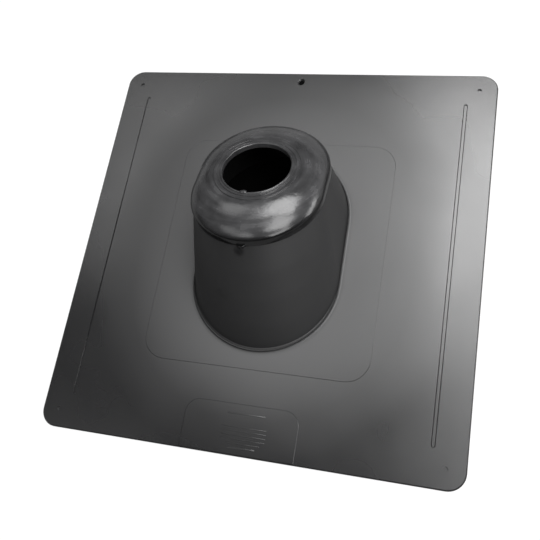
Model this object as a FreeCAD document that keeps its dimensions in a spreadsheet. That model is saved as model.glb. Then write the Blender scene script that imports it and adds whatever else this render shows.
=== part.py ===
import FreeCAD, Part
import math
import os
import Sketcher

# Pipe flashing boot: a square roof flashing with a tapered, hollow body and a
# flexible collar that grips the vent pipe. Millimetres. The origin is the middle
# of the plate's underside, +Z points out of the roof and +Y up the slope.

SIZES = [
    # name, value, meaning
    ("plate_width", 317.5, "plate across the slope"),
    ("plate_length", 317.5, "plate along the slope"),
    ("plate_thickness", 2.2, "plate wall"),
    ("plate_corner", 13.0, "corner radius seen from above"),
    ("plate_bevel", 0.9, "bevel of the plate's upper edge"),
    ("panel_width", 175.0, "raised centre panel across the slope"),
    ("panel_length", 188.0, "raised centre panel along the slope"),
    ("panel_shift", 2.4, "middle of the centre panel below the middle of the plate"),
    ("panel_corner", 18.0, "corner radius of the centre panel"),
    ("panel_rise", 0.4, "how far both raised panels stand proud"),
    ("panel_bevel", 0.3, "bevel of the panels' upper edges"),
    ("label_width", 86.0, "raised panel at the lower edge, across the slope"),
    ("label_top", 122.0, "its upper edge below the middle of the plate"),
    ("label_corner", 11.0, "radius of its two upper corners"),
    ("channel_inset", 23.3, "side channel's centre line from the side edge"),
    ("channel_margin", 26.5, "side channel's ends from the upper and lower edge"),
    ("channel_radius", 1.5, "half the channel's width"),
    ("channel_depth", 0.9, "how deep the channel is pressed"),
    ("pressed_draft", 30.0, "lean of the walls of the side channels, degrees"),
    ("nail_inset", 14.0, "nail marks from the plate's edges"),
    ("nail_mark_radius", 1.7, "nail mark at the surface"),
    ("nail_mark_depth", 1.3, "depth of a nail mark"),
    ("nail_hole_inset", 8.5, "nail hole from the upper edge"),
    ("nail_hole_diameter", 4.4, "nail hole through the plate"),
    ("nail_sink_diameter", 6.4, "countersink of the nail hole"),
    ("foot_radius", 57.0, "end radius of the body's foot"),
    ("foot_straight", 25.2, "half the straight side of the foot"),
    ("foot_bevel", 1.0, "bevel between the centre panel and the body"),
    ("body_wall", 1.8, "wall of the body"),
    ("rim_tilt", 19.6, "how far the rim leans up the slope, degrees"),
    ("rim_rise", 58.8, "middle of the rim above the underside"),
    ("rim_forward", 29.8, "middle of the rim up the slope"),
    ("rim_clear_radius", 44.5, "clear radius inside the rim, for a 3 inch pipe"),
    ("rim_straight", 9.8, "half the straight side of the rim"),
    ("rim_ledge", 1.3, "ledge under the rim, where the collar's skirt ends"),
    ("flange_reach", 0.5, "how far the rim's flange stands out"),
    ("flange_height", 1.4, "height of the rim's flange"),
    ("collar_gap", 0.1, "clearance between the collar and the rim"),
    ("skirt_wall", 1.5, "skirt of the collar outside the flange"),
    ("skirt_drop", 4.4, "how far the skirt hangs below the rim"),
    ("skirt_bevel", 0.6, "bevel of the skirt's lower edge"),
    ("ledge_gap", 0.3, "clearance between the skirt and the ledge"),
    ("dome_height", 13.9, "seat of the tear-out rings above the rim"),
    ("dome_fullness", 1.5, "shape of the dome: 1 is a cone, 2 an ellipse"),
    ("dome_wall", 2.2, "wall of the dome"),
    ("hole_back", 2.4, "middle of the pipe hole down the slope from the rim's"),
    ("pipe_hole_radius", 24.5, "pipe hole at rest, which stretches over the pipe"),
    ("ring_seat_radius", 31.8, "flat top of the dome"),
    ("ring_radius", 30.6, "outside of the largest tear-out ring"),
    ("ring_rise", 0.5, "step from one ring to the next"),
    ("tear_depth", 0.35, "depth of a tear line"),
    ("tear_width", 0.8, "width of a tear line"),
    ("lip_height", 0.8, "height of the lip at the pipe hole, half its width"),
    ("lip_bevel", 0.3, "bevel of the lip's upper edges"),
    ("tab_width", 7.0, "tab at the lower side of the skirt"),
    ("tab_reach", 2.4, "how far the tab stands out"),
    ("tab_height", 1.8, "thickness of the tab"),
]

RING_COUNT = 2
RISER_STEPS = 4
DOME_ANGLES = (0, 22.5, 45, 67.5, 90)
SMALLEST_STRAIGHT = "0.2"

# Radii and depths that both pieces share, from the inside of the rim outwards.
RIM_RADIUS = "(Sizes.rim_clear_radius + Sizes.body_wall)"
NECK_RADIUS = "(Sizes.rim_clear_radius + Sizes.body_wall + Sizes.rim_ledge)"
INNER_NECK_RADIUS = "(Sizes.rim_clear_radius + Sizes.rim_ledge)"
FLANGE_RADIUS = "(Sizes.rim_clear_radius + Sizes.body_wall + Sizes.flange_reach)"
SKIRT_RADIUS = (
    "(Sizes.rim_clear_radius + Sizes.body_wall + Sizes.flange_reach"
    " + Sizes.collar_gap + Sizes.skirt_wall)"
)
RIM_BAND = "(Sizes.skirt_drop + Sizes.ledge_gap)"
INNER_NECK_DEPTH = "(Sizes.skirt_drop + Sizes.ledge_gap + Sizes.body_wall)"
RING_STEP = "(Sizes.ring_radius - Sizes.pipe_hole_radius) / %d" % RING_COUNT
RING_TOP = "(Sizes.dome_height + %d * Sizes.ring_rise)" % RING_COUNT
DOWN_X = FreeCAD.Vector(-1, 0, 0)


def point(x, y):
    return FreeCAD.Vector(x, y, 0)


def make_sheet(doc):
    """The driving sizes: name, value and meaning, one row each."""
    sheet = doc.addObject("Spreadsheet::Sheet", "Sizes")
    for row, (name, value, meaning) in enumerate(SIZES, start=1):
        sheet.set("A%d" % row, name)
        sheet.set("B%d" % row, str(value))
        sheet.set("C%d" % row, meaning)
        sheet.setAlias("B%d" % row, name)
    doc.recompute()
    return sheet


# ---------------------------------------------------------------- sketches


def origin_plane(body, role):
    return next(item for item in body.Origin.OriginFeatures if item.Role == role)


def new_sketch(body, name, role="XY_Plane"):
    sketch = body.newObject("Sketcher::SketchObject", name)
    sketch.AttachmentSupport = [(origin_plane(body, role), "")]
    sketch.MapMode = "FlatFace"
    return sketch


def raise_sketch(sketch, height):
    sketch.setExpression("AttachmentOffset.Base.z", height)
    return sketch


def lean_with_rim(sketch, depth="0", share=1):
    """Put a sketch parallel to the leaning rim, at a depth below it, or part of the way there."""
    sketch.AttachmentOffset = FreeCAD.Placement(point(0, 0), FreeCAD.Rotation(DOWN_X, 10))
    forward = "%s * (Sizes.rim_forward - (%s) * sin(Sizes.rim_tilt * 1 deg))" % (share, depth)
    rise = "%s * (Sizes.rim_rise - (%s) * cos(Sizes.rim_tilt * 1 deg))" % (share, depth)
    sketch.setExpression("AttachmentOffset.Rotation.Angle", "%s * Sizes.rim_tilt" % share)
    sketch.setExpression("AttachmentOffset.Base.y", forward)
    sketch.setExpression("AttachmentOffset.Base.z", rise)
    return sketch


def number(sketch, expression):
    return float(sketch.evalExpression(expression))


def dimension(sketch, name, kind, geometry, expression):
    """Add one dimension and tie it to the sheet."""
    index = sketch.addConstraint(Sketcher.Constraint(kind, *geometry, number(sketch, expression)))
    sketch.renameConstraint(index, name)
    sketch.setExpression("Constraints." + name, expression)


def place_centre(sketch, name, curve, x, y):
    """Hold the centre of a curve at x, y, given as expressions."""
    for axis, expression in (("X", x), ("Y", y)):
        if expression == "0":
            line = -2 if axis == "X" else -1
            sketch.addConstraint(Sketcher.Constraint("PointOnObject", curve, 3, line))
        elif expression.startswith("-"):
            geometry = (curve, 3, -1, 1)
            dimension(sketch, name + axis, "Distance" + axis, geometry, expression[1:])
        else:
            geometry = (-1, 1, curve, 3)
            dimension(sketch, name + axis, "Distance" + axis, geometry, expression)


def add_circle(sketch, name, radius, x="0", y="0"):
    middle = point(number(sketch, x), number(sketch, y))
    circle = Part.Circle(middle, FreeCAD.Vector(0, 0, 1), number(sketch, radius))
    curve = sketch.addGeometry(circle, False)
    place_centre(sketch, name, curve, x, y)
    dimension(sketch, name + "Radius", "Radius", (curve,), radius)


def add_arc(sketch, x, y, radius, start, end):
    circle = Part.Circle(point(x, y), FreeCAD.Vector(0, 0, 1), radius)
    arc = Part.ArcOfCircle(circle, math.radians(start), math.radians(end))
    return sketch.addGeometry(arc, False)


def add_line(sketch, start, end):
    return sketch.addGeometry(Part.LineSegment(point(*start), point(*end)), False)


def join_tangent(sketch, chain):
    """Join each curve's end to the next curve's start, all the way round."""
    for curve, following in zip(chain, chain[1:] + chain[:1]):
        sketch.addConstraint(Sketcher.Constraint("Tangent", curve, 2, following, 1))


def add_obround(sketch, name, radius, half_straight, x="0", y="0"):
    """Two half circles with straight sides along Y between them."""
    reach = number(sketch, radius)
    half = number(sketch, half_straight)
    mid_x, mid_y = number(sketch, x), number(sketch, y)
    upper = add_arc(sketch, mid_x, mid_y + half, reach, 0, 180)
    left = add_line(sketch, (mid_x - reach, mid_y + half), (mid_x - reach, mid_y - half))
    lower = add_arc(sketch, mid_x, mid_y - half, reach, 180, 360)
    right = add_line(sketch, (mid_x + reach, mid_y - half), (mid_x + reach, mid_y + half))
    join_tangent(sketch, [upper, left, lower, right])
    sketch.addConstraint(Sketcher.Constraint("Equal", upper, lower))
    sketch.addConstraint(Sketcher.Constraint("Vertical", left))
    dimension(sketch, name + "Radius", "Radius", (upper,), radius)
    spread = "2 * (%s)" % half_straight
    dimension(sketch, name + "Spread", "DistanceY", (lower, 3, upper, 3), spread)
    place_centre(sketch, name + "Upper", upper, x, "(%s) + (%s)" % (half_straight, y))


def add_round_rectangle(sketch, name, width, length, corner, y="0"):
    half_x, half_y = number(sketch, width) / 2, number(sketch, length) / 2
    radius, mid_y = number(sketch, corner), number(sketch, y)
    near_x, low, high = half_x - radius, mid_y - half_y, mid_y + half_y
    corners = [
        add_arc(sketch, near_x, high - radius, radius, 0, 90),
        add_arc(sketch, -near_x, high - radius, radius, 90, 180),
        add_arc(sketch, -near_x, low + radius, radius, 180, 270),
        add_arc(sketch, near_x, low + radius, radius, 270, 360),
    ]
    sides = [
        add_line(sketch, (near_x, high), (-near_x, high)),
        add_line(sketch, (-half_x, high - radius), (-half_x, low + radius)),
        add_line(sketch, (-near_x, low), (near_x, low)),
        add_line(sketch, (half_x, low + radius), (half_x, high - radius)),
    ]
    join_tangent(sketch, [curve for pair in zip(corners, sides) for curve in pair])
    for side, direction in zip(sides, ("Horizontal", "Vertical", "Horizontal", "Vertical")):
        sketch.addConstraint(Sketcher.Constraint(direction, side))
    for other in corners[1:]:
        sketch.addConstraint(Sketcher.Constraint("Equal", corners[0], other))
    across = "%s - 2 * %s" % (width, corner)
    along = "%s - 2 * %s" % (length, corner)
    dimension(sketch, name + "Corner", "Radius", (corners[0],), corner)
    dimension(sketch, name + "Across", "DistanceX", (corners[1], 3, corners[0], 3), across)
    dimension(sketch, name + "Along", "DistanceY", (corners[3], 3, corners[0], 3), along)
    place_centre(
        sketch, name, corners[0], "(%s) / 2" % across, "(%s) / 2 + (%s)" % (along, y)
    )


def add_tongue(sketch, name, width, corner, top, bottom):
    """A panel below the X axis with two round upper corners and a square lower edge."""
    half, radius = number(sketch, width) / 2, number(sketch, corner)
    high, low = -number(sketch, top), -number(sketch, bottom)
    near = half - radius
    chain = [
        add_arc(sketch, near, high - radius, radius, 0, 90),
        add_line(sketch, (near, high), (-near, high)),
        add_arc(sketch, -near, high - radius, radius, 90, 180),
        add_line(sketch, (-half, high - radius), (-half, low)),
        add_line(sketch, (-half, low), (half, low)),
        add_line(sketch, (half, low), (half, high - radius)),
    ]
    right_arc, upper, left_arc, left, lower, right = chain
    for first, second in ((right_arc, upper), (upper, left_arc), (left_arc, left), (right, right_arc)):
        sketch.addConstraint(Sketcher.Constraint("Tangent", first, 2, second, 1))
    for first, second in ((left, lower), (lower, right)):
        sketch.addConstraint(Sketcher.Constraint("Coincident", first, 2, second, 1))
    sketch.addConstraint(Sketcher.Constraint("Horizontal", upper))
    sketch.addConstraint(Sketcher.Constraint("Horizontal", lower))
    sketch.addConstraint(Sketcher.Constraint("Vertical", left))
    sketch.addConstraint(Sketcher.Constraint("Vertical", right))
    sketch.addConstraint(Sketcher.Constraint("Equal", right_arc, left_arc))
    dimension(sketch, name + "Corner", "Radius", (right_arc,), corner)
    dimension(sketch, name + "Half", "DistanceX", (-1, 1, lower, 2), "%s / 2" % width)
    across = "%s - 2 * %s" % (width, corner)
    dimension(sketch, name + "Across", "DistanceX", (left_arc, 3, right_arc, 3), across)
    dimension(sketch, name + "Top", "DistanceY", (upper, 1, -1, 1), top)
    dimension(sketch, name + "Bottom", "DistanceY", (lower, 1, -1, 1), bottom)


def add_rectangle(sketch, name, left, bottom, width, height):
    """A rectangle right of the vertical axis and above the horizontal one."""
    x, y = number(sketch, left), number(sketch, bottom)
    right, top = x + number(sketch, width), y + number(sketch, height)
    corners = [(x, y), (right, y), (right, top), (x, top)]
    sides = [add_line(sketch, *pair) for pair in zip(corners, corners[1:] + corners[:1])]
    for side, following in zip(sides, sides[1:] + sides[:1]):
        sketch.addConstraint(Sketcher.Constraint("Coincident", side, 2, following, 1))
    for side, direction in zip(sides, ("Horizontal", "Vertical", "Horizontal", "Vertical")):
        sketch.addConstraint(Sketcher.Constraint(direction, side))
    dimension(sketch, name + "Left", "DistanceX", (-1, 1, sides[0], 1), left)
    dimension(sketch, name + "Bottom", "DistanceY", (-1, 1, sides[0], 1), bottom)
    dimension(sketch, name + "Width", "DistanceX", (sides[0], 1, sides[0], 2), width)
    dimension(sketch, name + "Height", "DistanceY", (sides[1], 1, sides[1], 2), height)


def add_bead(sketch, name, inside, level, reach, bevel_size):
    """A bead twice as wide as it is high: two short walls, two bevels and a flat top."""
    near, low = number(sketch, inside), number(sketch, level)
    far, cut = near + 2 * number(sketch, reach), number(sketch, bevel_size)
    top = low + number(sketch, reach)
    corners = [
        (near, low), (far, low), (far, top - cut), (far - cut, top), (near + cut, top),
        (near, top - cut),
    ]
    sides = [add_line(sketch, *pair) for pair in zip(corners, corners[1:] + corners[:1])]
    for side, following in zip(sides, sides[1:] + sides[:1]):
        sketch.addConstraint(Sketcher.Constraint("Coincident", side, 2, following, 1))
    floor, outer, outer_bevel, flat, inner_bevel, inner = sides
    for side, direction in (
        (floor, "Horizontal"), (outer, "Vertical"), (flat, "Horizontal"), (inner, "Vertical")
    ):
        sketch.addConstraint(Sketcher.Constraint(direction, side))
    dimension(sketch, name + "Inside", "DistanceX", (-1, 1, floor, 1), inside)
    dimension(sketch, name + "Level", "DistanceY", (-1, 1, floor, 1), level)
    dimension(sketch, name + "Width", "DistanceX", (floor, 1, floor, 2), "2 * " + reach)
    dimension(sketch, name + "Top", "DistanceY", (-1, 1, flat, 1), "%s + %s" % (level, reach))
    dimension(sketch, name + "Wall", "DistanceY", (inner, 2, inner, 1), "%s - %s" % (reach, bevel_size))
    sketch.addConstraint(Sketcher.Constraint("Equal", inner, outer))
    for side, end in ((outer_bevel, "OuterBevel"), (inner_bevel, "InnerBevel")):
        dimension(sketch, name + end, "DistanceX", (side, 2, side, 1), bevel_size)


# ---------------------------------------------------------------- features


def settle(body, feature, grows):
    """Recompute, and see that a feature added or removed material as it should."""
    before = body.Shape.Volume if body.Shape and not body.Shape.isNull() else 0.0
    body.Document.recompute()
    change = feature.Shape.Volume - before
    if feature.State != ["Up-to-date"] or (change > 0) != grows:
        raise RuntimeError("%s failed: %s, %.1f mm3" % (feature.Name, feature.State, change))
    return feature


def pad(body, sketch, name, length, downwards=False):
    feature = body.newObject("PartDesign::Pad", name)
    feature.Profile = sketch
    feature.Reversed = downwards
    feature.setExpression("Length", length)
    return settle(body, feature, grows=True)


def pocket(body, sketch, name, depth, draft=None, upwards=False):
    feature = body.newObject("PartDesign::Pocket", name)
    feature.Profile = sketch
    feature.Reversed = upwards
    feature.setExpression("Length", depth)
    if draft:
        feature.setExpression("TaperAngle", "-" + draft)
    return settle(body, feature, grows=False)


def loft(body, sections, name, cut=False):
    kind = "PartDesign::SubtractiveLoft" if cut else "PartDesign::AdditiveLoft"
    feature = body.newObject(kind, name)
    feature.Profile = sections[0]
    feature.Sections = sections[1:]
    feature.Ruled = True
    return settle(body, feature, grows=not cut)


def bevel(body, name, size, wanted):
    """Bevel the edges of the body's present shape that the wanted test picks."""
    base = body.Tip
    names = ["Edge%d" % (i + 1) for i, edge in enumerate(base.Shape.Edges) if wanted(edge)]
    feature = body.newObject("PartDesign::Chamfer", name)
    feature.Base = (base, names)
    feature.setExpression("Size", size)
    body.Document.recompute()
    if feature.State != ["Up-to-date"]:
        raise RuntimeError("%s failed on %s" % (name, names))
    return feature


# ---------------------------------------------------------------- the base


def lies_at_height(edge, height):
    return abs(edge.BoundBox.ZMin - height) < 0.01 and abs(edge.BoundBox.ZMax - height) < 0.01


def build_plate(body, sheet):
    outline = new_sketch(body, "PlateOutline")
    add_round_rectangle(
        outline, "plate", "Sizes.plate_width", "Sizes.plate_length", "Sizes.plate_corner"
    )
    pad(body, outline, "Plate", "Sizes.plate_thickness")
    top = sheet.plate_thickness
    bevel(body, "PlateEdge", "Sizes.plate_bevel", lambda edge: lies_at_height(edge, top))

    proud = "Sizes.plate_thickness + Sizes.panel_rise"
    centre = new_sketch(body, "CentrePanelOutline")
    add_round_rectangle(
        centre, "panel", "Sizes.panel_width", "Sizes.panel_length", "Sizes.panel_corner",
        "-Sizes.panel_shift",
    )
    pad(body, centre, "CentrePanel", proud)
    label = new_sketch(body, "LabelPanelOutline")
    add_tongue(
        label, "label", "Sizes.label_width", "Sizes.label_corner", "Sizes.label_top",
        "Sizes.plate_length / 2 - Sizes.plate_bevel",
    )
    pad(body, label, "LabelPanel", proud)
    raised = sheet.plate_thickness + sheet.panel_rise
    bevel(body, "PanelEdges", "Sizes.panel_bevel", lambda edge: lies_at_height(edge, raised))


def riser_sections(body, name, foot_radius, neck_radius, depth):
    """Obrounds that shrink and lean from the level foot to the neck below the rim."""
    sections = []
    for step in range(RISER_STEPS + 1):
        share = step / RISER_STEPS
        sketch = lean_with_rim(new_sketch(body, "%s%d" % (name, step)), depth, share)
        radius = "(%s) * %s + (%s) * %s" % (foot_radius, 1 - share, neck_radius, share)
        half = "Sizes.foot_straight * %s + Sizes.rim_straight * %s" % (1 - share, share)
        add_obround(sketch, "outline", radius, half)
        sections.append(sketch)
    return sections


def build_riser(body, sheet):
    """The hollow, tapered body: an obround foot lofted to the leaning rim."""
    outside = riser_sections(body, "RiserOutline", "Sizes.foot_radius", NECK_RADIUS, RIM_BAND)
    loft(body, outside, "Riser")

    band = lean_with_rim(new_sketch(body, "BandOutline"), RIM_BAND)
    add_obround(band, "band", RIM_RADIUS, "Sizes.rim_straight")
    pad(body, band, "RimBand", RIM_BAND)
    flange = lean_with_rim(new_sketch(body, "FlangeOutline"))
    add_obround(flange, "flange", FLANGE_RADIUS, "Sizes.rim_straight")
    pad(body, flange, "RimFlange", "Sizes.flange_height", downwards=True)

    top = sheet.plate_thickness + sheet.panel_rise
    reach_x = sheet.foot_radius + sheet.foot_bevel
    reach_y = reach_x + sheet.foot_straight

    def at_foot(edge):
        box = edge.BoundBox
        inside = max(-box.XMin, box.XMax) < reach_x and max(-box.YMin, box.YMax) < reach_y
        return inside and lies_at_height(edge, top)

    bevel(body, "FootBevel", "Sizes.foot_bevel", at_foot)

    inside = riser_sections(
        body, "HollowOutline", "Sizes.foot_radius - Sizes.body_wall", INNER_NECK_RADIUS,
        INNER_NECK_DEPTH,
    )
    loft(body, inside, "Hollow", cut=True)
    mouth = lean_with_rim(new_sketch(body, "MouthOutline"))
    add_obround(mouth, "mouth", "Sizes.rim_clear_radius", "Sizes.rim_straight")
    pocket(body, mouth, "Mouth", INNER_NECK_DEPTH)


def build_channels(body):
    """A shallow channel along each side, which keeps water on the plate."""
    slot = raise_sketch(new_sketch(body, "ChannelOutline"), "Sizes.plate_thickness")
    add_obround(
        slot, "channel", "Sizes.channel_radius",
        "Sizes.plate_length / 2 - Sizes.channel_margin - Sizes.channel_radius",
        x="Sizes.plate_width / 2 - Sizes.channel_inset",
    )
    channel = pocket(body, slot, "Channel", "Sizes.channel_depth", "Sizes.pressed_draft")
    twin = body.newObject("PartDesign::Mirrored", "ChannelTwin")
    twin.Originals = [channel]
    twin.MirrorPlane = (origin_plane(body, "YZ_Plane"), [""])
    body.Tip = twin
    body.Document.recompute()


def build_nailing(body):
    """Blind marks at the corners and the lower edge, and one hole at the upper edge."""
    across = "(Sizes.plate_width / 2 - Sizes.nail_inset)"
    along = "(Sizes.plate_length / 2 - Sizes.nail_inset)"
    marks = raise_sketch(new_sketch(body, "NailMarkOutline"), "Sizes.plate_thickness")
    for name, x, y in (
        ("upperRight", across, along),
        ("upperLeft", "-" + across, along),
        ("lowerLeft", "-" + across, "-" + along),
        ("lowerRight", across, "-" + along),
        ("lowerMiddle", "0", "-" + along),
    ):
        add_circle(marks, name, "Sizes.nail_mark_radius", x, y)
    depth = "Sizes.nail_mark_depth"
    pocket(body, marks, "NailMarks", depth)

    spot = raise_sketch(new_sketch(body, "NailHoleSpot"), "Sizes.plate_thickness")
    add_circle(
        spot, "nail", "Sizes.nail_hole_diameter / 2",
        y="Sizes.plate_length / 2 - Sizes.nail_hole_inset",
    )
    body.Document.recompute()
    hole = body.newObject("PartDesign::Hole", "NailHole")
    hole.Profile = spot
    hole.DepthType = "ThroughAll"
    hole.HoleCutType = "Countersink"
    hole.HoleCutCountersinkAngle = 90
    hole.setExpression("Diameter", "Sizes.nail_hole_diameter")
    hole.setExpression("HoleCutDiameter", "Sizes.nail_sink_diameter")
    settle(body, hole, grows=False)


def build_base(doc, sheet):
    body = doc.addObject("PartDesign::Body", "FlashingBase")
    body.Label = "flashing_base"
    build_plate(body, sheet)
    build_riser(body, sheet)
    build_channels(body)
    build_nailing(body)
    return body


# ---------------------------------------------------------------- the collar


def dome_sections(body, name, rim_radius, top_radius, height):
    """Obrounds that shrink and drift from the rim to the flat top of the dome."""
    sections = []
    for step, angle in enumerate(DOME_ANGLES):
        spread = "cos(%s deg) ^ (2 / Sizes.dome_fullness)" % angle
        climb = "sin(%s deg) ^ (2 / Sizes.dome_fullness)" % angle
        sketch = raise_sketch(new_sketch(body, "%s%d" % (name, step)), "%s * %s" % (height, climb))
        radius = "%s + (%s - %s) * %s" % (top_radius, rim_radius, top_radius, spread)
        half = "%s + Sizes.rim_straight * %s" % (SMALLEST_STRAIGHT, spread)
        if angle == 0:
            half = "Sizes.rim_straight"
        add_obround(
            sketch, "dome", radius, half, y="0 - Sizes.hole_back * (1 - %s)" % spread
        )
        sections.append(sketch)
    return sections


def build_skirt(body, sheet):
    """The skirt that hooks under the rim's flange, and the tab at its lower side."""
    outside = new_sketch(body, "SkirtOutline")
    add_obround(outside, "outside", SKIRT_RADIUS, "Sizes.rim_straight")
    pad(body, outside, "Skirt", "Sizes.skirt_drop", downwards=True)
    bottom = -sheet.skirt_drop
    bevel(body, "SkirtEdge", "Sizes.skirt_bevel", lambda edge: lies_at_height(edge, bottom))

    tab = raise_sketch(new_sketch(body, "TabOutline"), "-Sizes.skirt_drop")
    tab_middle = "%s + Sizes.rim_straight + Sizes.tab_reach / 2 - Sizes.tab_width / 2" % SKIRT_RADIUS
    add_obround(
        tab, "tab", "Sizes.tab_width / 2", "Sizes.tab_reach / 2", y="0 - (%s)" % tab_middle
    )
    pad(body, tab, "Tab", "Sizes.tab_height")

    inside = new_sketch(body, "SkirtInsideOutline")
    add_obround(inside, "inside", RIM_RADIUS + " + Sizes.collar_gap", "Sizes.rim_straight")
    pocket(body, inside, "SkirtInside", "Sizes.skirt_drop")
    seat = new_sketch(body, "FlangeSeatOutline")
    add_obround(seat, "seat", FLANGE_RADIUS + " + Sizes.collar_gap", "Sizes.rim_straight")
    pocket(body, seat, "FlangeSeat", "Sizes.flange_height + Sizes.collar_gap")


def build_dome(body):
    outside = dome_sections(
        body, "DomeOutside", SKIRT_RADIUS, "Sizes.ring_seat_radius", "Sizes.dome_height"
    )
    loft(body, outside, "Dome")
    inside = dome_sections(
        body, "DomeInside", "Sizes.rim_clear_radius",
        "(Sizes.ring_seat_radius - Sizes.dome_wall)", "(Sizes.dome_height - Sizes.dome_wall)",
    )
    loft(body, inside, "DomeHollow", cut=True)


def hole_section(body, name):
    """A sketch through the axis of the pipe hole, with that axis as its vertical."""
    sketch = new_sketch(body, name, "XZ_Plane")
    return raise_sketch(sketch, "Sizes.hole_back")


def spin(body, sketch, name, cut=False):
    feature = body.newObject("PartDesign::Groove" if cut else "PartDesign::Revolution", name)
    feature.Profile = sketch
    feature.ReferenceAxis = (sketch, ["V_Axis"])
    feature.Angle = 360
    return settle(body, feature, grows=not cut)


def build_rings(body):
    """Stepped rings round the pipe hole, torn out along their lines for a larger pipe."""
    for ring in range(RING_COUNT):
        seat = new_sketch(body, "RingOutline%d" % (ring + 1))
        raise_sketch(seat, "Sizes.dome_height")
        radius = "Sizes.ring_radius - %d * %s" % (ring, RING_STEP)
        add_circle(seat, "ring", radius, y="-Sizes.hole_back")
        pad(body, seat, "Ring%d" % (ring + 1), "%d * Sizes.ring_rise" % (ring + 1))
    hole = new_sketch(body, "PipeHoleOutline")
    add_circle(hole, "hole", "Sizes.pipe_hole_radius", y="-Sizes.hole_back")
    pocket(body, hole, "PipeHole", RING_TOP, upwards=True)

    lines = hole_section(body, "TearLines")
    for ring in range(RING_COUNT):
        left = "Sizes.ring_radius - %d * %s" % (ring, RING_STEP)
        bottom = "Sizes.dome_height + %d * Sizes.ring_rise - Sizes.tear_depth" % ring
        add_rectangle(
            lines, "line%d" % (ring + 1), left, bottom, "Sizes.tear_width",
            "Sizes.tear_depth + Sizes.ring_rise / 2",
        )
    spin(body, lines, "TearGrooves", cut=True)
    lip = hole_section(body, "LipOutline")
    add_bead(
        lip, "lip", "Sizes.pipe_hole_radius", RING_TOP, "Sizes.lip_height", "Sizes.lip_bevel"
    )
    spin(body, lip, "Lip")


def build_collar(doc, sheet):
    body = doc.addObject("PartDesign::Body", "PipeCollar")
    body.Label = "pipe_collar"
    build_skirt(body, sheet)
    build_dome(body)
    build_rings(body)
    body.Placement = FreeCAD.Placement(point(0, 0), FreeCAD.Rotation(DOWN_X, 10))
    body.setExpression("Placement.Base.y", "Sizes.rim_forward")
    body.setExpression("Placement.Base.z", "Sizes.rim_rise")
    body.setExpression("Placement.Rotation.Angle", "Sizes.rim_tilt")
    return body


# ---------------------------------------------------------------- writing


def check_and_write(doc, bodies):
    doc.recompute()
    for item in doc.Objects:
        if "Invalid" in item.State or "Error" in item.State:
            raise RuntimeError("%s is %s" % (item.Name, item.State))
    os.makedirs("parts", exist_ok=True)
    for body in bodies:
        shape = body.Shape
        if shape.isNull() or not shape.isValid() or len(shape.Solids) != 1:
            raise RuntimeError("%s has no single valid solid" % body.Label)
        shape.exportStep("parts/%s.step" % body.Label)
        box = shape.BoundBox
        print("%s: %.1f cm3, %.1f x %.1f x %.1f mm" % (
            body.Label, shape.Volume / 1000, box.XLength, box.YLength, box.ZLength))


def main():
    doc = FreeCAD.newDocument("PipeFlashingBoot")
    sheet = make_sheet(doc)
    bodies = [build_base(doc, sheet), build_collar(doc, sheet)]
    check_and_write(doc, bodies)


main()
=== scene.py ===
import math

import bmesh
import bpy
from mathutils import Matrix, Vector


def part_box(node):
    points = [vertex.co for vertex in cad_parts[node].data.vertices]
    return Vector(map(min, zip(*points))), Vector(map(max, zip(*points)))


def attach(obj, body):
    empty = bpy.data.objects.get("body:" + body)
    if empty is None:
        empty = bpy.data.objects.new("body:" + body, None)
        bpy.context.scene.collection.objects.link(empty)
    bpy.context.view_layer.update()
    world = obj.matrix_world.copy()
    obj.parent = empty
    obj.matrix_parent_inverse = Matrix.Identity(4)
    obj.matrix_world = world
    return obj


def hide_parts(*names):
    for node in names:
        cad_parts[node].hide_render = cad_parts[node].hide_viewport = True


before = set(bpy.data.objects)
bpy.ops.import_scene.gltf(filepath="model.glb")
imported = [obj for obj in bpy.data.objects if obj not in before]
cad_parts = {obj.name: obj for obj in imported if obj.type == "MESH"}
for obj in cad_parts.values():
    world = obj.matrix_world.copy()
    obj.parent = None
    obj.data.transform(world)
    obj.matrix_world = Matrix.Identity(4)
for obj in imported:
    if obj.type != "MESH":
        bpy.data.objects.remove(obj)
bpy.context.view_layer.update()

bl_info = {
    "name": "Pipe flashing boot",
    "version": (1, 0, 0),
    "blender": (4, 5, 0),
    "location": "3D View > Sidebar > Flashing",
    "description": "Dresses the moulded base and the rubber collar of a roof pipe flashing",
    "category": "Object",
}

MM = 0.001
PLATE_LOW, PLATE_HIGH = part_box("flashing_base")
# points round every ring, and steps along each curve that the rings follow
RING_POINTS = 160
DOME_STEPS = 14
INNER_DOME_STEPS = 8
LIP_STEPS = 8
FILLET_STEPS = 6


# ---------------------------------------------------------------- sizes and colours


def length(name, description, default, precision=4):
    return bpy.props.FloatProperty(
        name=name, description=description, default=default, unit="LENGTH", precision=precision)


def tone(name, description, default):
    return bpy.props.FloatVectorProperty(
        name=name, description=description, default=default, size=3, subtype="COLOR", min=0, max=1)


class RimSizes(bpy.types.PropertyGroup):
    """Where the leaning rim stands, and its outline."""

    tilt: bpy.props.FloatProperty(
        name="Rim tilt", description="Lean of the rim, which levels it on the roof's slope",
        default=math.radians(19.6), subtype="ANGLE",
    )
    forward: length("Rim forward", "Middle of the rim, uphill of the plate's middle", 29.8 * MM)
    rise: length("Rim rise", "Height of the rim's middle above the roof", 58.8 * MM)
    straight: length("Rim straight", "Half the straight part of the rim's sides", 9.8 * MM)


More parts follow.
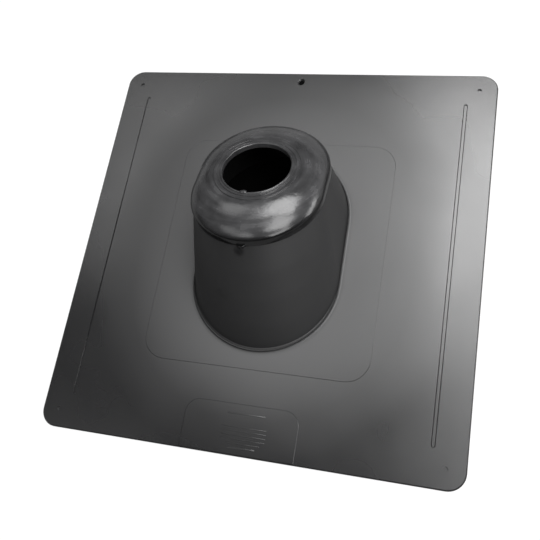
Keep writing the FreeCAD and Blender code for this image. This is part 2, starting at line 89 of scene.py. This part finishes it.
class CollarSizes(bpy.types.PropertyGroup):
    """The rubber collar, in the leaning plane of the rim."""

    skirt_radius: length("Skirt radius", "Outside of the skirt", 48.4 * MM)
    skirt_inner_radius: length("Skirt inner radius", "Inside of the skirt", 46.4 * MM)
    seat_radius: length("Seat radius", "Groove that holds the rim's flange", 46.9 * MM)
    seat_depth: length("Seat depth", "Depth of the groove for the flange", 1.5 * MM)
    skirt_drop: length("Skirt drop", "How far the skirt hangs below the rim", 4.4 * MM)
    dome_height: length("Dome height", "Height of the dome above the rim", 13.9 * MM)
    # painted shade: the band over the rim's edge is smoother, and its colour is painted darker
    rim_shade_band: length("Rim shade band", "Height of the smoother, darker band over the rim's edge", 4.0 * MM)
    dome_fullness: bpy.props.FloatProperty(
        name="Dome fullness", description="1 is a cone, 2 is a round dome", default=1.5,
    )
    dome_wall: length("Dome wall", "Thickness of the dome", 2.2 * MM)
    inner_radius: length("Inner radius", "Inside of the dome at the rim", 44.5 * MM)
    ring_seat: length("Ring seat", "Radius of the dome's flat top", 31.8 * MM)
    ring_radius: length("Outer ring", "Radius of the outermost tear ring", 30.6 * MM)
    ring_rise: length("Ring rise", "Step from one ring to the next", 0.5 * MM, precision=5)
    ring_count: bpy.props.IntProperty(
        name="Rings", description="Number of tear rings", default=2, min=1,
    )
    tear_depth: length("Tear depth", "Depth of a tear line", 0.35 * MM, precision=5)
    tear_width: length("Tear width", "Width of a tear line", 0.8 * MM, precision=5)
    hole_radius: length("Pipe hole", "Radius of the pipe hole", 24.5 * MM)
    hole_back: length("Hole back", "How far the hole sits downhill of the rim's middle", 2.4 * MM)
    lip_height: length("Lip height", "Height of the lip round the hole", 0.8 * MM)
    tab_width: length("Tab width", "Pull tab at the lower side of the skirt", 7 * MM)
    tab_reach: length("Tab reach", "How far the tab stands out", 2.4 * MM)
    tab_height: length("Tab height", "Thickness of the tab", 1.8 * MM)
    nub: length("Gate nub", "Half the depth of the moulding nub on the lip", 1.6 * MM)
    colour: tone("Rubber", "Colour of the rubber", (0.028, 0.028, 0.029))


class BaseSizes(bpy.types.PropertyGroup):
    """The moulded base: its foot, its label ribs and its colours."""

    foot_radius: length("Foot radius", "Outside of the body at the plate", 57 * MM)
    foot_straight: length("Foot straight", "Half the straight part of the foot's sides", 25.2 * MM)
    panel_top: length("Panel top", "Height of the centre panel", 2.6 * MM)
    fillet: length("Foot fillet", "Radius between the panel and the body", 1.75 * MM)
    colour: tone("Plastic", "Colour of the moulded plastic", (0.007, 0.007, 0.0075))
    rib_height: length(
        "Rib height", "Height of the plain ribs on the label panel", 0.35 * MM, precision=5)
    label_shift: length("Label shift", "How far the ribs stand to the right of the middle", 4 * MM)
    # painted sheen: a lighter colour round the body's foot that stands in for reflected light on evenly
    # black plastic
    painted_sheen: tone("Painted sheen", "Colour of the greyed plastic next to the body", (0.045, 0.045, 0.046))


class StageLook(bpy.types.PropertyGroup):
    """The floor, the light and the camera."""

    floor: tone("Floor", "Colour of the floor", (0.9, 0.9, 0.9))
    mirrored: bpy.props.FloatProperty(
        name="Mirrored floor", description="How bright the part mirrors the floor and backdrop",
        default=0.12, subtype="FACTOR", min=0, max=1,
    )
    fill: bpy.props.FloatProperty(
        name="Fill", description="Strength of the even light from all round", default=0.15,
    )
    key_power: bpy.props.FloatProperty(
        name="Key light", description="Power that every lamp takes its share of", default=30,
        unit="POWER",
    )
    camera_place: bpy.props.FloatVectorProperty(
        name="Camera place", description="Where the camera stands",
        default=(0.14445, -0.17814, 0.49261), size=3, subtype="TRANSLATION", precision=4,
    )
    camera_turn: bpy.props.FloatVectorProperty(
        name="Camera turn", description="How the camera is turned from looking straight down",
        default=(math.radians(19.9087), math.radians(12.944), math.radians(9.919)), size=3,
        subtype="EULER",
    )
    camera_lens: bpy.props.FloatProperty(
        name="Camera lens", description="Focal length in millimetres on a 36 mm sensor",
        default=46.407,
    )


# ---------------------------------------------------------------- helpers


def finish_piece(name, bm, material):
    """Turn a bmesh into an object at the origin that rides on the part."""
    mesh = bpy.data.meshes.new(name)
    bm.to_mesh(mesh)
    bm.free()
    mesh.materials.append(material)
    piece = bpy.data.objects.new(name, mesh)
    bpy.context.scene.collection.objects.link(piece)
    for face in mesh.polygons:
        face.use_smooth = True
    mesh.set_sharp_from_angle(angle=math.radians(35))
    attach(piece, "root")
    return piece


def obround(direction, radius, half, shift, height):
    """The point of an obround that lies in a direction of the unit circle."""
    side = math.copysign(half, direction.y)
    return Vector((radius * direction.x, radius * direction.y + side + shift, height))


def loft_rings(bm, stations):
    """Extrude one closed ring through obrounds of (radius, half, shift, height)."""
    start = bmesh.ops.create_circle(bm, cap_ends=False, radius=1, segments=RING_POINTS)["verts"]
    turn = Matrix.Rotation(math.pi / RING_POINTS, 3, "Z")
    bmesh.ops.rotate(bm, verts=start, cent=(0, 0, 0), matrix=turn)
    directions = [vert.co.copy() for vert in start]
    edges = list(bm.edges)
    loops = []
    for number, station in enumerate(stations):
        if number:
            made = bmesh.ops.extrude_edge_only(bm, edges=edges)["geom"]
            edges = [item for item in made if isinstance(item, bmesh.types.BMEdge)
                     and all(vert in made for vert in item.verts) and len(item.link_faces) == 1]
            verts = ordered(edges, loops[-1])
        else:
            verts = list(start)
        for vert, direction in zip(verts, directions):
            vert.co = obround(direction, *station)
        loops.append(verts)
    return loops


def ordered(edges, previous):
    """The new ring's vertices, in the order of the ring that they came from."""
    new = {vert for edge in edges for vert in edge.verts}
    return [next(edge.other_vert(vert) for edge in vert.link_edges
                 if edge.other_vert(vert) in new) for vert in previous]


def rim_place():
    """The move from the rim's own plane to its place on the body."""
    rim = bpy.context.scene.flashing_rim
    return Matrix.Translation((0, rim.forward, rim.rise)) @ Matrix.Rotation(-rim.tilt, 4, "X")


# ---------------------------------------------------------------- materials


def start_material(name):
    material = bpy.data.materials.new(name)
    material.use_nodes = True
    return material, material.node_tree.nodes, material.node_tree.links


def new_group(name, inputs, outputs):
    """An empty node group with number sockets, and its two ends."""
    group = bpy.data.node_groups.new(name, "ShaderNodeTree")
    for label, value in inputs:
        socket = group.interface.new_socket(label, in_out="INPUT", socket_type="NodeSocketFloat")
        socket.default_value = value
    for label in outputs:
        group.interface.new_socket(label, in_out="OUTPUT", socket_type="NodeSocketFloat")
    return group, group.nodes.new("NodeGroupInput"), group.nodes.new("NodeGroupOutput")


def place_group(nodes, group):
    node = nodes.new("ShaderNodeGroup")
    node.node_tree = group
    return node


def combine(nodes, links, operation, first, second):
    """A Math node on two sockets or numbers."""
    node = nodes.new("ShaderNodeMath")
    node.operation = operation
    for value, socket in ((first, node.inputs[0]), (second, node.inputs[1])):
        if isinstance(value, (int, float)):
            socket.default_value = value
        else:
            links.new(value, socket)
    return node.outputs["Value"]


def map_range(nodes, links, source, low, high, start, end):
    """Low where the source is at start, high where it is at end."""
    node = nodes.new("ShaderNodeMapRange")
    node.inputs["From Min"].default_value = start
    node.inputs["From Max"].default_value = end
    node.inputs["To Min"].default_value = low
    node.inputs["To Max"].default_value = high
    links.new(source, node.inputs["Value"])
    return node.outputs["Result"]


def mix_colours(nodes, links, share, first, second):
    """The first colour where the share is 0, the second where it is 1."""
    node = nodes.new("ShaderNodeMix")
    node.data_type = "RGBA"
    for value, socket in ((first, node.inputs["A"]), (second, node.inputs["B"])):
        if isinstance(value, bpy.types.NodeSocket):
            links.new(value, socket)
        else:
            socket.default_value = (*value, 1)
    links.new(share, node.inputs["Factor"])
    return node.outputs["Result"]


def mix_shaders(nodes, links, share, first, second, output):
    mix = nodes.new("ShaderNodeMixShader")
    links.new(share, mix.inputs["Fac"])
    links.new(first, mix.inputs[1])
    links.new(second, mix.inputs[2])
    links.new(mix.outputs["Shader"], output.inputs["Surface"])


def scaled_colour(colour, share):
    return [share * part for part in colour]


def add_noise(nodes, links, place, scale, detail, roughness=0.5):
    node = nodes.new("ShaderNodeTexNoise")
    node.inputs["Detail"].default_value = detail
    node.inputs["Roughness"].default_value = roughness
    links.new(place, node.inputs["Vector"])
    links.new(scale, node.inputs["Scale"])
    return node.outputs["Fac"]


def add_bump(nodes, links, height, strength, distance, under=None):
    """A bump, over an earlier one where that is given."""
    node = nodes.new("ShaderNodeBump")
    node.inputs["Strength"].default_value = strength
    node.inputs["Distance"].default_value = distance
    links.new(height, node.inputs["Height"])
    if under:
        links.new(under, node.inputs["Normal"])
    return node.outputs["Normal"]


def object_axes(nodes, links):
    """The X, Y and Z of a place on the object."""
    place = nodes.new("ShaderNodeTexCoord")
    split = nodes.new("ShaderNodeSeparateXYZ")
    links.new(place.outputs["Object"], split.inputs["Vector"])
    return split.outputs


def flat_length(nodes, links, across, along):
    flat = nodes.new("ShaderNodeCombineXYZ")
    links.new(across, flat.inputs["X"])
    links.new(along, flat.inputs["Y"])
    reach = nodes.new("ShaderNodeVectorMath")
    reach.operation = "LENGTH"
    links.new(flat.outputs["Vector"], reach.inputs[0])
    return reach.outputs["Value"]


def moulded_grain():
    """Fine grain and slow drift of a moulded surface, on Object coordinates."""
    if "Moulded grain" in bpy.data.node_groups:
        return bpy.data.node_groups["Moulded grain"]
    group, enter, leave = new_group(
        "Moulded grain", [("Grain scale", 1500), ("Drift scale", 9)], ["Grain", "Drift"])
    nodes, links = group.nodes, group.links
    place = nodes.new("ShaderNodeTexCoord").outputs["Object"]
    for output, scale, detail in (("Grain", "Grain scale", 2), ("Drift", "Drift scale", 3)):
        noise = add_noise(nodes, links, place, enter.outputs[scale], detail)
        links.new(noise, leave.inputs[output])
    return group


def distance_from_foot():
    """Distance in metres from the line along the body's foot, measured over the plate."""
    group, enter, leave = new_group("Foot distance", [("Half straight", 0.025)], ["Distance"])
    nodes, links = group.nodes, group.links
    axes = object_axes(nodes, links)
    along = combine(nodes, links, "ABSOLUTE", axes["Y"], 0)
    past = combine(nodes, links, "SUBTRACT", along, enter.outputs["Half straight"])
    ahead = combine(nodes, links, "MAXIMUM", past, 0)
    links.new(flat_length(nodes, links, axes["X"], ahead), leave.inputs["Distance"])
    return group


def rubber_smears():
    """Cloudy and streaky marks round the collar's axis, and the height over its rim."""
    group, enter, leave = new_group(
        "Rubber smears", [("Cloud scale", 60), ("Streak scale", 22)],
        ["Clouds", "Streaks", "Height"])
    nodes, links = group.nodes, group.links
    rim = bpy.context.scene.flashing_rim
    place = nodes.new("ShaderNodeTexCoord")
    level = nodes.new("ShaderNodeMapping")
    level.vector_type = "TEXTURE"
    level.inputs["Location"].default_value = (0, rim.forward, rim.rise)
    level.inputs["Rotation"].default_value = (-rim.tilt, 0, 0)
    links.new(place.outputs["Object"], level.inputs["Vector"])
    split = nodes.new("ShaderNodeSeparateXYZ")
    links.new(level.outputs["Vector"], split.inputs["Vector"])
    links.new(split.outputs["Z"], leave.inputs["Height"])
    # streaks are long round the axis and short across it
    around = combine(nodes, links, "ARCTAN2", split.outputs["X"], split.outputs["Y"])
    reach = flat_length(nodes, links, split.outputs["X"], split.outputs["Y"])
    polar = nodes.new("ShaderNodeCombineXYZ")
    links.new(combine(nodes, links, "MULTIPLY", around, 0.035), polar.inputs["X"])
    links.new(combine(nodes, links, "MULTIPLY", reach, 9), polar.inputs["Y"])
    for source, scale, output in (
        (level.outputs["Vector"], "Cloud scale", "Clouds"),
        (polar.outputs["Vector"], "Streak scale", "Streaks"),
    ):
        noise = add_noise(nodes, links, source, enter.outputs[scale], detail=4, roughness=0.6)
        links.new(noise, leave.inputs[output])
    return group


# places rubbed smooth on the body: middle, size and how much smoother
SCUFFS = (
    ((-0.0190, -0.0503, 0.0395), 0.006, 0.14),
    ((-0.0024, -0.0290, 0.0700), 0.0045, 0.25),
)


def plastic_material():
    """Black polyolefin with a fine satin grain, duller near the body, where a painted sheen lightens its
    colour.
    """
    material, nodes, links = start_material("Moulded black plastic")
    shader = nodes["Principled BSDF"]
    base = bpy.context.scene.flashing_base
    shader.inputs["IOR"].default_value = 1.5
    shader.inputs["Specular IOR Level"].default_value = 0.9
    grain = place_group(nodes, moulded_grain())
    foot = place_group(nodes, distance_from_foot())
    away = foot.outputs["Distance"]
    # painted sheen: the colour turns lighter just outside the foot and fades out across the plate
    near = map_range(nodes, links, away, low=1, high=0, start=base.foot_radius, end=0.11)
    outside = map_range(
        nodes, links, away, low=0, high=1, start=base.foot_radius, end=base.foot_radius + 4 * MM)
    sheened = combine(nodes, links, "MULTIPLY", near, outside)
    links.new(
        mix_colours(nodes, links, sheened, base.colour, base.painted_sheen), shader.inputs["Base Color"])
    matt = map_range(nodes, links, away, low=0.55, high=0.28, start=0.06, end=0.14)
    drift = map_range(
        nodes, links, grain.outputs["Drift"], low=-0.04, high=0.04, start=0.3, end=0.7)
    dull = combine(nodes, links, "ADD", matt, drift)
    place = nodes.new("ShaderNodeTexCoord")
    for spot, size, depth in SCUFFS:
        apart = nodes.new("ShaderNodeVectorMath")
        apart.operation = "DISTANCE"
        apart.inputs[1].default_value = spot
        links.new(place.outputs["Object"], apart.inputs[0])
        worn = map_range(
            nodes, links, apart.outputs["Value"], low=depth, high=0, start=size * 0.4, end=size)
        dull = combine(nodes, links, "SUBTRACT", dull, worn)
    links.new(dull, shader.inputs["Roughness"])
    links.new(
        add_bump(nodes, links, grain.outputs["Grain"], 0.25, 0.1 * MM), shader.inputs["Normal"])
    return material


def rubber_material():
    """Glossy black rubber, mottled by handling and mould release, with painted shade darkening it at the
    rim.
    """
    material, nodes, links = start_material("Collar rubber")
    shader = nodes["Principled BSDF"]
    collar = bpy.context.scene.flashing_collar
    edge_height = collar.rim_shade_band
    shader.inputs["IOR"].default_value = 1.52
    shader.inputs["Specular IOR Level"].default_value = 0.55
    smears = place_group(nodes, rubber_smears())
    height = smears.outputs["Height"]
    both = combine(nodes, links, "MULTIPLY", smears.outputs["Clouds"], smears.outputs["Streaks"])
    dusty = map_range(nodes, links, both, low=0, high=1, start=0.12, end=0.4)
    mottled = mix_colours(
        nodes, links, dusty, scaled_colour(collar.colour, 0.7), scaled_colour(collar.colour, 1.9))
    # painted shade: the colour turns nearly black over the band at the rim's edge
    above = map_range(
        nodes, links, height, low=0, high=1, start=edge_height * 0.2, end=edge_height * 1.4)
    links.new(
        mix_colours(nodes, links, above, scaled_colour(collar.colour, 0.12), mottled),
        shader.inputs["Base Color"])
    dull = map_range(nodes, links, dusty, low=0.13, high=0.32, start=0, end=1)
    edge = map_range(
        nodes, links, height, low=0.1, high=0.4, start=edge_height * 0.4, end=edge_height)
    links.new(combine(nodes, links, "MINIMUM", dull, edge), shader.inputs["Roughness"])
    grain = place_group(nodes, moulded_grain())
    grain.inputs["Grain scale"].default_value = 900
    fine = add_bump(nodes, links, grain.outputs["Grain"], 0.12, 0.1 * MM)
    waves = add_bump(nodes, links, smears.outputs["Clouds"], 0.22, 1.2 * MM, under=fine)
    links.new(waves, shader.inputs["Normal"])
    return material


# ---------------------------------------------------------------- pieces


# each rib's place from the middle of the base, its width and its depth
LABEL_RIBS = (
    (-0.1290, 0.028, 0.0010), (-0.1385, 0.033, 0.0006), (-0.1414, 0.033, 0.0006),
    (-0.1443, 0.033, 0.0006), (-0.1472, 0.033, 0.0006), (-0.1501, 0.026, 0.0006),
    (-0.1532, 0.020, 0.0012),
)


class FLASHING_OT_base(bpy.types.Operator):
    """Give the moulded base its plastic and the soft fillet at its foot"""

    bl_idname = "flashing.base"
    bl_label = "Base"

    def execute(self, context):
        sizes = context.scene.flashing_base
        plastic = plastic_material()
        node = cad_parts["flashing_base"]
        for slot in node.material_slots:
            slot.material = plastic
        bm = bmesh.new()
        stations = []
        for step in range(FILLET_STEPS + 1):
            angle = math.pi / 2 * step / FILLET_STEPS
            stations.append((
                sizes.foot_radius + sizes.fillet * (1 - math.sin(angle)), sizes.foot_straight, 0,
                sizes.panel_top + sizes.fillet * (1 - math.cos(angle)),
            ))
        loft_rings(bm, stations)
        bmesh.ops.recalc_face_normals(bm, faces=bm.faces)
        finish_piece("foot_fillet", bm, plastic)
        self.label_ribs(sizes, plastic)
        return {"FINISHED"}

    def label_ribs(self, sizes, plastic):
        """Plain ribs on the front panel, where a product carries its label."""
        bm = bmesh.new()
        # a tenth of each rib is sunk into the panel
        middle = sizes.panel_top + sizes.rib_height * 0.4
        for along, width, depth in LABEL_RIBS:
            rib = bmesh.ops.create_cube(bm, size=1)["verts"]
            bmesh.ops.scale(bm, verts=rib, vec=(width, depth, sizes.rib_height))
            bmesh.ops.translate(bm, verts=rib, vec=(sizes.label_shift, along, middle))
        tops = [edge for edge in bm.edges if min(vert.co.z for vert in edge.verts) > middle]
        bmesh.ops.bevel(
            bm, geom=tops, offset=sizes.rib_height * 0.3, segments=2, affect="EDGES",
            profile=0.5, material=-1)
        finish_piece("label_ribs", bm, plastic)


class FLASHING_OT_collar(bpy.types.Operator):
    """Model the rubber collar: skirt, dome, tear rings, lip and tab"""

    bl_idname = "flashing.collar"
    bl_label = "Collar"

    def dome(self, sizes, half, rim_radius, top_radius, height, steps):
        """Obrounds that shrink and drift from the rim to the dome's top."""
        power = 2 / sizes.dome_fullness
        stations = []
        for step in range(steps + 1):
            angle = math.pi / 2 * step / steps
            spread = max(math.cos(angle), 0) ** power
            stations.append((
                top_radius + (rim_radius - top_radius) * spread, half * spread,
                -sizes.hole_back * (1 - spread), height * math.sin(angle) ** power,
            ))
        return stations

    def rings(self, sizes):
        """The stepped rings and tear lines, from the outside to the lip."""
        step = (sizes.ring_radius - sizes.hole_radius) / sizes.ring_count
        stations = []
        for ring in range(sizes.ring_count):
            radius = sizes.ring_radius - ring * step
            level = sizes.dome_height + ring * sizes.ring_rise
            floor = level - sizes.tear_depth
            outer = radius + sizes.tear_width
            for reach, height in (
                (outer, level), (outer, floor), (radius, floor), (radius, level + sizes.ring_rise)
            ):
                stations.append((reach, 0, -sizes.hole_back, height))
        top = sizes.dome_height + sizes.ring_count * sizes.ring_rise
        for number in range(LIP_STEPS + 1):
            angle = math.pi * number / LIP_STEPS
            middle = sizes.hole_radius + sizes.lip_height
            stations.append((
                middle + sizes.lip_height * math.cos(angle), 0, -sizes.hole_back,
                top + sizes.lip_height * math.sin(angle),
            ))
        return stations

    def tab(self, bm, sizes, straight):
        """A half-round tab whose root is inside the skirt's wall."""
        made = bmesh.ops.create_circle(bm, cap_ends=True, radius=sizes.tab_width / 2, segments=48)
        verts = made["verts"]
        reach = sizes.skirt_radius + straight + sizes.tab_reach - sizes.tab_width / 2
        bmesh.ops.translate(bm, verts=verts, vec=(0, -reach, -sizes.skirt_drop))
        face = verts[0].link_faces[0]
        lifted = bmesh.ops.extrude_face_region(bm, geom=[face])["geom"]
        up = [item for item in lifted if isinstance(item, bmesh.types.BMVert)]
        bmesh.ops.translate(bm, verts=up, vec=(0, 0, sizes.tab_height))
        verts = verts + up
        edges = {edge for vert in verts for edge in vert.link_edges}
        faces = {face for vert in verts for face in vert.link_faces}
        root = -(sizes.skirt_radius + sizes.skirt_inner_radius) / 2 - straight
        cut = bmesh.ops.bisect_plane(
            bm, geom=verts + list(edges) + list(faces), plane_co=(0, root, 0),
            plane_no=(0, 1, 0), clear_outer=True,
        )["geom_cut"]
        rim = [item for item in cut if isinstance(item, bmesh.types.BMEdge)]
        bmesh.ops.holes_fill(bm, edges=rim, sides=0)

    def execute(self, context):
        sizes = context.scene.flashing_collar
        half = context.scene.flashing_rim.straight
        bm = bmesh.new()
        stations = [(sizes.skirt_inner_radius, half, 0, -sizes.skirt_drop),
                    (sizes.skirt_radius, half, 0, -sizes.skirt_drop)]
        stations += self.dome(
            sizes, half, sizes.skirt_radius, sizes.ring_seat, sizes.dome_height, DOME_STEPS)
        stations += self.rings(sizes)
        roof = sizes.dome_height - sizes.dome_wall
        stations.append((sizes.hole_radius, 0, -sizes.hole_back, roof))
        inner = self.dome(
            sizes, half, sizes.inner_radius, sizes.ring_seat - sizes.dome_wall, roof,
            INNER_DOME_STEPS)
        stations += inner[::-1]
        for radius, height in (
            (sizes.seat_radius, 0), (sizes.seat_radius, -sizes.seat_depth),
            (sizes.skirt_inner_radius, -sizes.seat_depth),
        ):
            stations.append((radius, half, 0, height))
        loops = loft_rings(bm, stations)
        ends = [edge for loop in (loops[0], loops[-1]) for vert in loop
                for edge in vert.link_edges if len(edge.link_faces) == 1]
        bmesh.ops.bridge_loops(bm, edges=list(set(ends)))
        self.tab(bm, sizes, half)
        # the moulding nub, long across the lip and low
        nub = bmesh.ops.create_uvsphere(bm, u_segments=24, v_segments=12, radius=sizes.nub)["verts"]
        bmesh.ops.scale(bm, verts=nub, vec=(1.7, 1, 0.5))
        top = sizes.dome_height + sizes.ring_count * sizes.ring_rise
        reach = sizes.hole_radius + sizes.hole_back
        bmesh.ops.translate(bm, verts=nub, vec=(-2 * sizes.nub, -reach, top + sizes.lip_height / 2))
        bmesh.ops.recalc_face_normals(bm, faces=bm.faces)
        bmesh.ops.transform(bm, matrix=rim_place(), verts=bm.verts)
        collar = finish_piece("rubber_collar", bm, rubber_material())
        softening = collar.modifiers.new("Soft edges", "BEVEL")
        softening.width = 0.15 * MM
        softening.segments = 2
        softening.limit_method = "ANGLE"
        softening.angle_limit = math.radians(40)
        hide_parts("pipe_collar")
        return {"FINISHED"}


# ---------------------------------------------------------------- the stage


def bounced_light(nodes, links, path):
    """One for the rays that a glossy or clear surface sends on."""
    return combine(
        nodes, links, "MAXIMUM", path.outputs["Is Glossy Ray"], path.outputs["Is Transmission Ray"])


# the floor is painted dark under the part, as painted shade, so that nothing pale shows through the
# holes, and turns pale between these shares of the plate's half width
DARK_SHARE = 0.96
PALE_SHARE = 0.985
# weight of |x| + |y| against the larger of the two, which cuts the dark square's corners
CORNER_CUT = 0.513
# painted shade: the floor's colour under the part
SHADE_UNDER_PART = (0.004, 0.004, 0.004)
# share of the open floor's look that glows, while the rest of it takes shadows
GLOW_SHARE = 0.85
FLOOR_SIZE = 15


def floor_material(look):
    """A pale floor that reads as white, keeps the part's shadow, and has painted shade under the part.
    """
    material, nodes, links = start_material("Pale floor")
    nodes.remove(nodes["Principled BSDF"])
    axes = object_axes(nodes, links)
    across, along = (combine(nodes, links, "ABSOLUTE", axes[axis], 0) for axis in ("X", "Y"))
    square = combine(nodes, links, "MAXIMUM", across, along)
    both = combine(nodes, links, "ADD", across, along)
    corner = combine(nodes, links, "MULTIPLY", both, CORNER_CUT)
    reach = combine(nodes, links, "MAXIMUM", square, corner)
    open_floor = map_range(
        nodes, links, reach, low=0, high=1,
        start=PLATE_HIGH.x * DARK_SHARE, end=PLATE_HIGH.x * PALE_SHARE)
    diffuse = nodes.new("ShaderNodeBsdfDiffuse")
    links.new(
        mix_colours(nodes, links, open_floor, SHADE_UNDER_PART, look.floor), diffuse.inputs["Color"])
    glow = nodes.new("ShaderNodeEmission")
    path = nodes.new("ShaderNodeLightPath")
    camera_ray = path.outputs["Is Camera Ray"]
    links.new(combine(nodes, links, "MAXIMUM", camera_ray, look.mirrored), glow.inputs["Strength"])
    seen = combine(nodes, links, "MAXIMUM", camera_ray, bounced_light(nodes, links, path))
    glowing = combine(nodes, links, "MULTIPLY", seen, GLOW_SHARE)
    mix_shaders(
        nodes, links, combine(nodes, links, "MULTIPLY", open_floor, glowing),
        diffuse.outputs["BSDF"], glow.outputs["Emission"], nodes["Material Output"])
    return material


def studio_world(look):
    """Even light that is white behind the part, and dim where the part mirrors it."""
    world = bpy.data.worlds.new("Studio")
    world.use_nodes = True
    nodes, links = world.node_tree.nodes, world.node_tree.links
    plain = nodes["Background"]
    plain.inputs["Color"].default_value = (1, 1, 1, 1)
    plain.inputs["Strength"].default_value = look.fill
    place = nodes.new("ShaderNodeTexCoord")
    split = nodes.new("ShaderNodeSeparateXYZ")
    links.new(place.outputs["Generated"], split.inputs["Vector"])
    # mirrored light is twice as strong overhead as at the horizon
    mirrored = map_range(
        nodes, links, split.outputs["Z"], low=look.mirrored / 3, high=look.mirrored * 2 / 3,
        start=0.04, end=0.3)
    path = nodes.new("ShaderNodeLightPath")
    camera_ray = path.outputs["Is Camera Ray"]
    bounced = bounced_light(nodes, links, path)
    reflected = combine(nodes, links, "MULTIPLY", bounced, mirrored)
    seen = nodes.new("ShaderNodeBackground")
    seen.inputs["Color"].default_value = (1, 1, 1, 1)
    links.new(combine(nodes, links, "MAXIMUM", camera_ray, reflected), seen.inputs["Strength"])
    mix_shaders(
        nodes, links, combine(nodes, links, "MAXIMUM", camera_ray, bounced),
        plain.outputs["Background"], seen.outputs["Background"], nodes["World Output"])
    return world


# name, place, the point that it faces, width, height, and share of the lamps' power
LIGHTS = (
    ("Key", (0.52, 0.74, 1.5), (0.52, 0.74, 0), 1.15, 0.85, 0.95),
    ("Back", (-0.8, 0.8, 1.5), (-0.8, 0.8, 0), 0.7, 0.7, 0.13),
    ("Side", (0.9, -0.2, 1.5), (0.9, -0.2, 0), 1.1, 0.85, 0.65),
    ("Front right", (0.95, -0.85, 0.95), (0, 0, 0.05), 0.9, 0.5, 0.2),
    ("Front", (-0.35, -1, 1.5), (-0.35, -1, 0), 0.6, 0.5, 0.12),
    ("Front left", (-1, -0.6, 1.5), (-1, -0.6, 0), 0.7, 0.7, 0.08),
    ("Right", (1.5, 0.4, 0.3), (0, 0, 0.05), 0.8, 0.4, 0.2),
)


def add_light(name, place, target, width, height, power):
    """A rectangular lamp that faces a point."""
    lamp = bpy.data.lights.new(name, "AREA")
    lamp.shape = "RECTANGLE"
    lamp.size, lamp.size_y, lamp.energy = width, height, power
    light = bpy.data.objects.new(name, lamp)
    light.location = place
    light.rotation_euler = (Vector(target) - Vector(place)).to_track_quat("-Z", "Y").to_euler()
    bpy.context.scene.collection.objects.link(light)


class FLASHING_OT_stage(bpy.types.Operator):
    """Lay the floor and set the lights and the camera"""

    bl_idname = "flashing.stage"
    bl_label = "Stage"

    def execute(self, context):
        look = context.scene.flashing_stage
        bm = bmesh.new()
        bmesh.ops.create_grid(bm, x_segments=1, y_segments=1, size=FLOOR_SIZE)
        mesh = bpy.data.meshes.new("floor")
        bm.to_mesh(mesh)
        bm.free()
        mesh.materials.append(floor_material(look))
        floor = bpy.data.objects.new("floor", mesh)
        floor.location.z = PLATE_LOW.z - 0.1 * MM
        context.scene.collection.objects.link(floor)
        context.scene.world = studio_world(look)
        for name, place, target, width, height, share in LIGHTS:
            add_light(name, place, target, width, height, look.key_power * share)
        camera_data = bpy.data.cameras.new("Camera")
        camera_data.lens = look.camera_lens
        camera_data.sensor_width = 36
        camera_data.clip_start = 0.01
        camera = bpy.data.objects.new("Camera", camera_data)
        camera.matrix_world = Matrix.LocRotScale(look.camera_place, look.camera_turn, None)
        context.scene.collection.objects.link(camera)
        context.scene.camera = camera
        context.scene.view_settings.view_transform = "Standard"
        return {"FINISHED"}


class FLASHING_PT_panel(bpy.types.Panel):
    bl_label = "Flashing boot"
    bl_idname = "FLASHING_PT_panel"
    bl_space_type = "VIEW_3D"
    bl_region_type = "UI"
    bl_category = "Flashing"

    def draw(self, context):
        for group in GROUPS:
            box = self.layout.box()
            values = getattr(context.scene, group)
            for name in values.__annotations__:
                box.prop(values, name)
        for operator in OPERATORS:
            self.layout.operator(operator.bl_idname)


GROUPS = {
    "flashing_rim": RimSizes,
    "flashing_base": BaseSizes,
    "flashing_collar": CollarSizes,
    "flashing_stage": StageLook,
}
OPERATORS = (FLASHING_OT_base, FLASHING_OT_collar, FLASHING_OT_stage)


def register():
    for name, group in GROUPS.items():
        bpy.utils.register_class(group)
        setattr(bpy.types.Scene, name, bpy.props.PointerProperty(type=group))
    for item in (*OPERATORS, FLASHING_PT_panel):
        bpy.utils.register_class(item)


def unregister():
    for item in reversed((*OPERATORS, FLASHING_PT_panel)):
        bpy.utils.unregister_class(item)
    for name, group in reversed(GROUPS.items()):
        delattr(bpy.types.Scene, name)
        bpy.utils.unregister_class(group)


def main():
    register()
    bpy.ops.flashing.base()
    bpy.ops.flashing.collar()
    bpy.ops.flashing.stage()


if __name__ == "__main__":
    main()
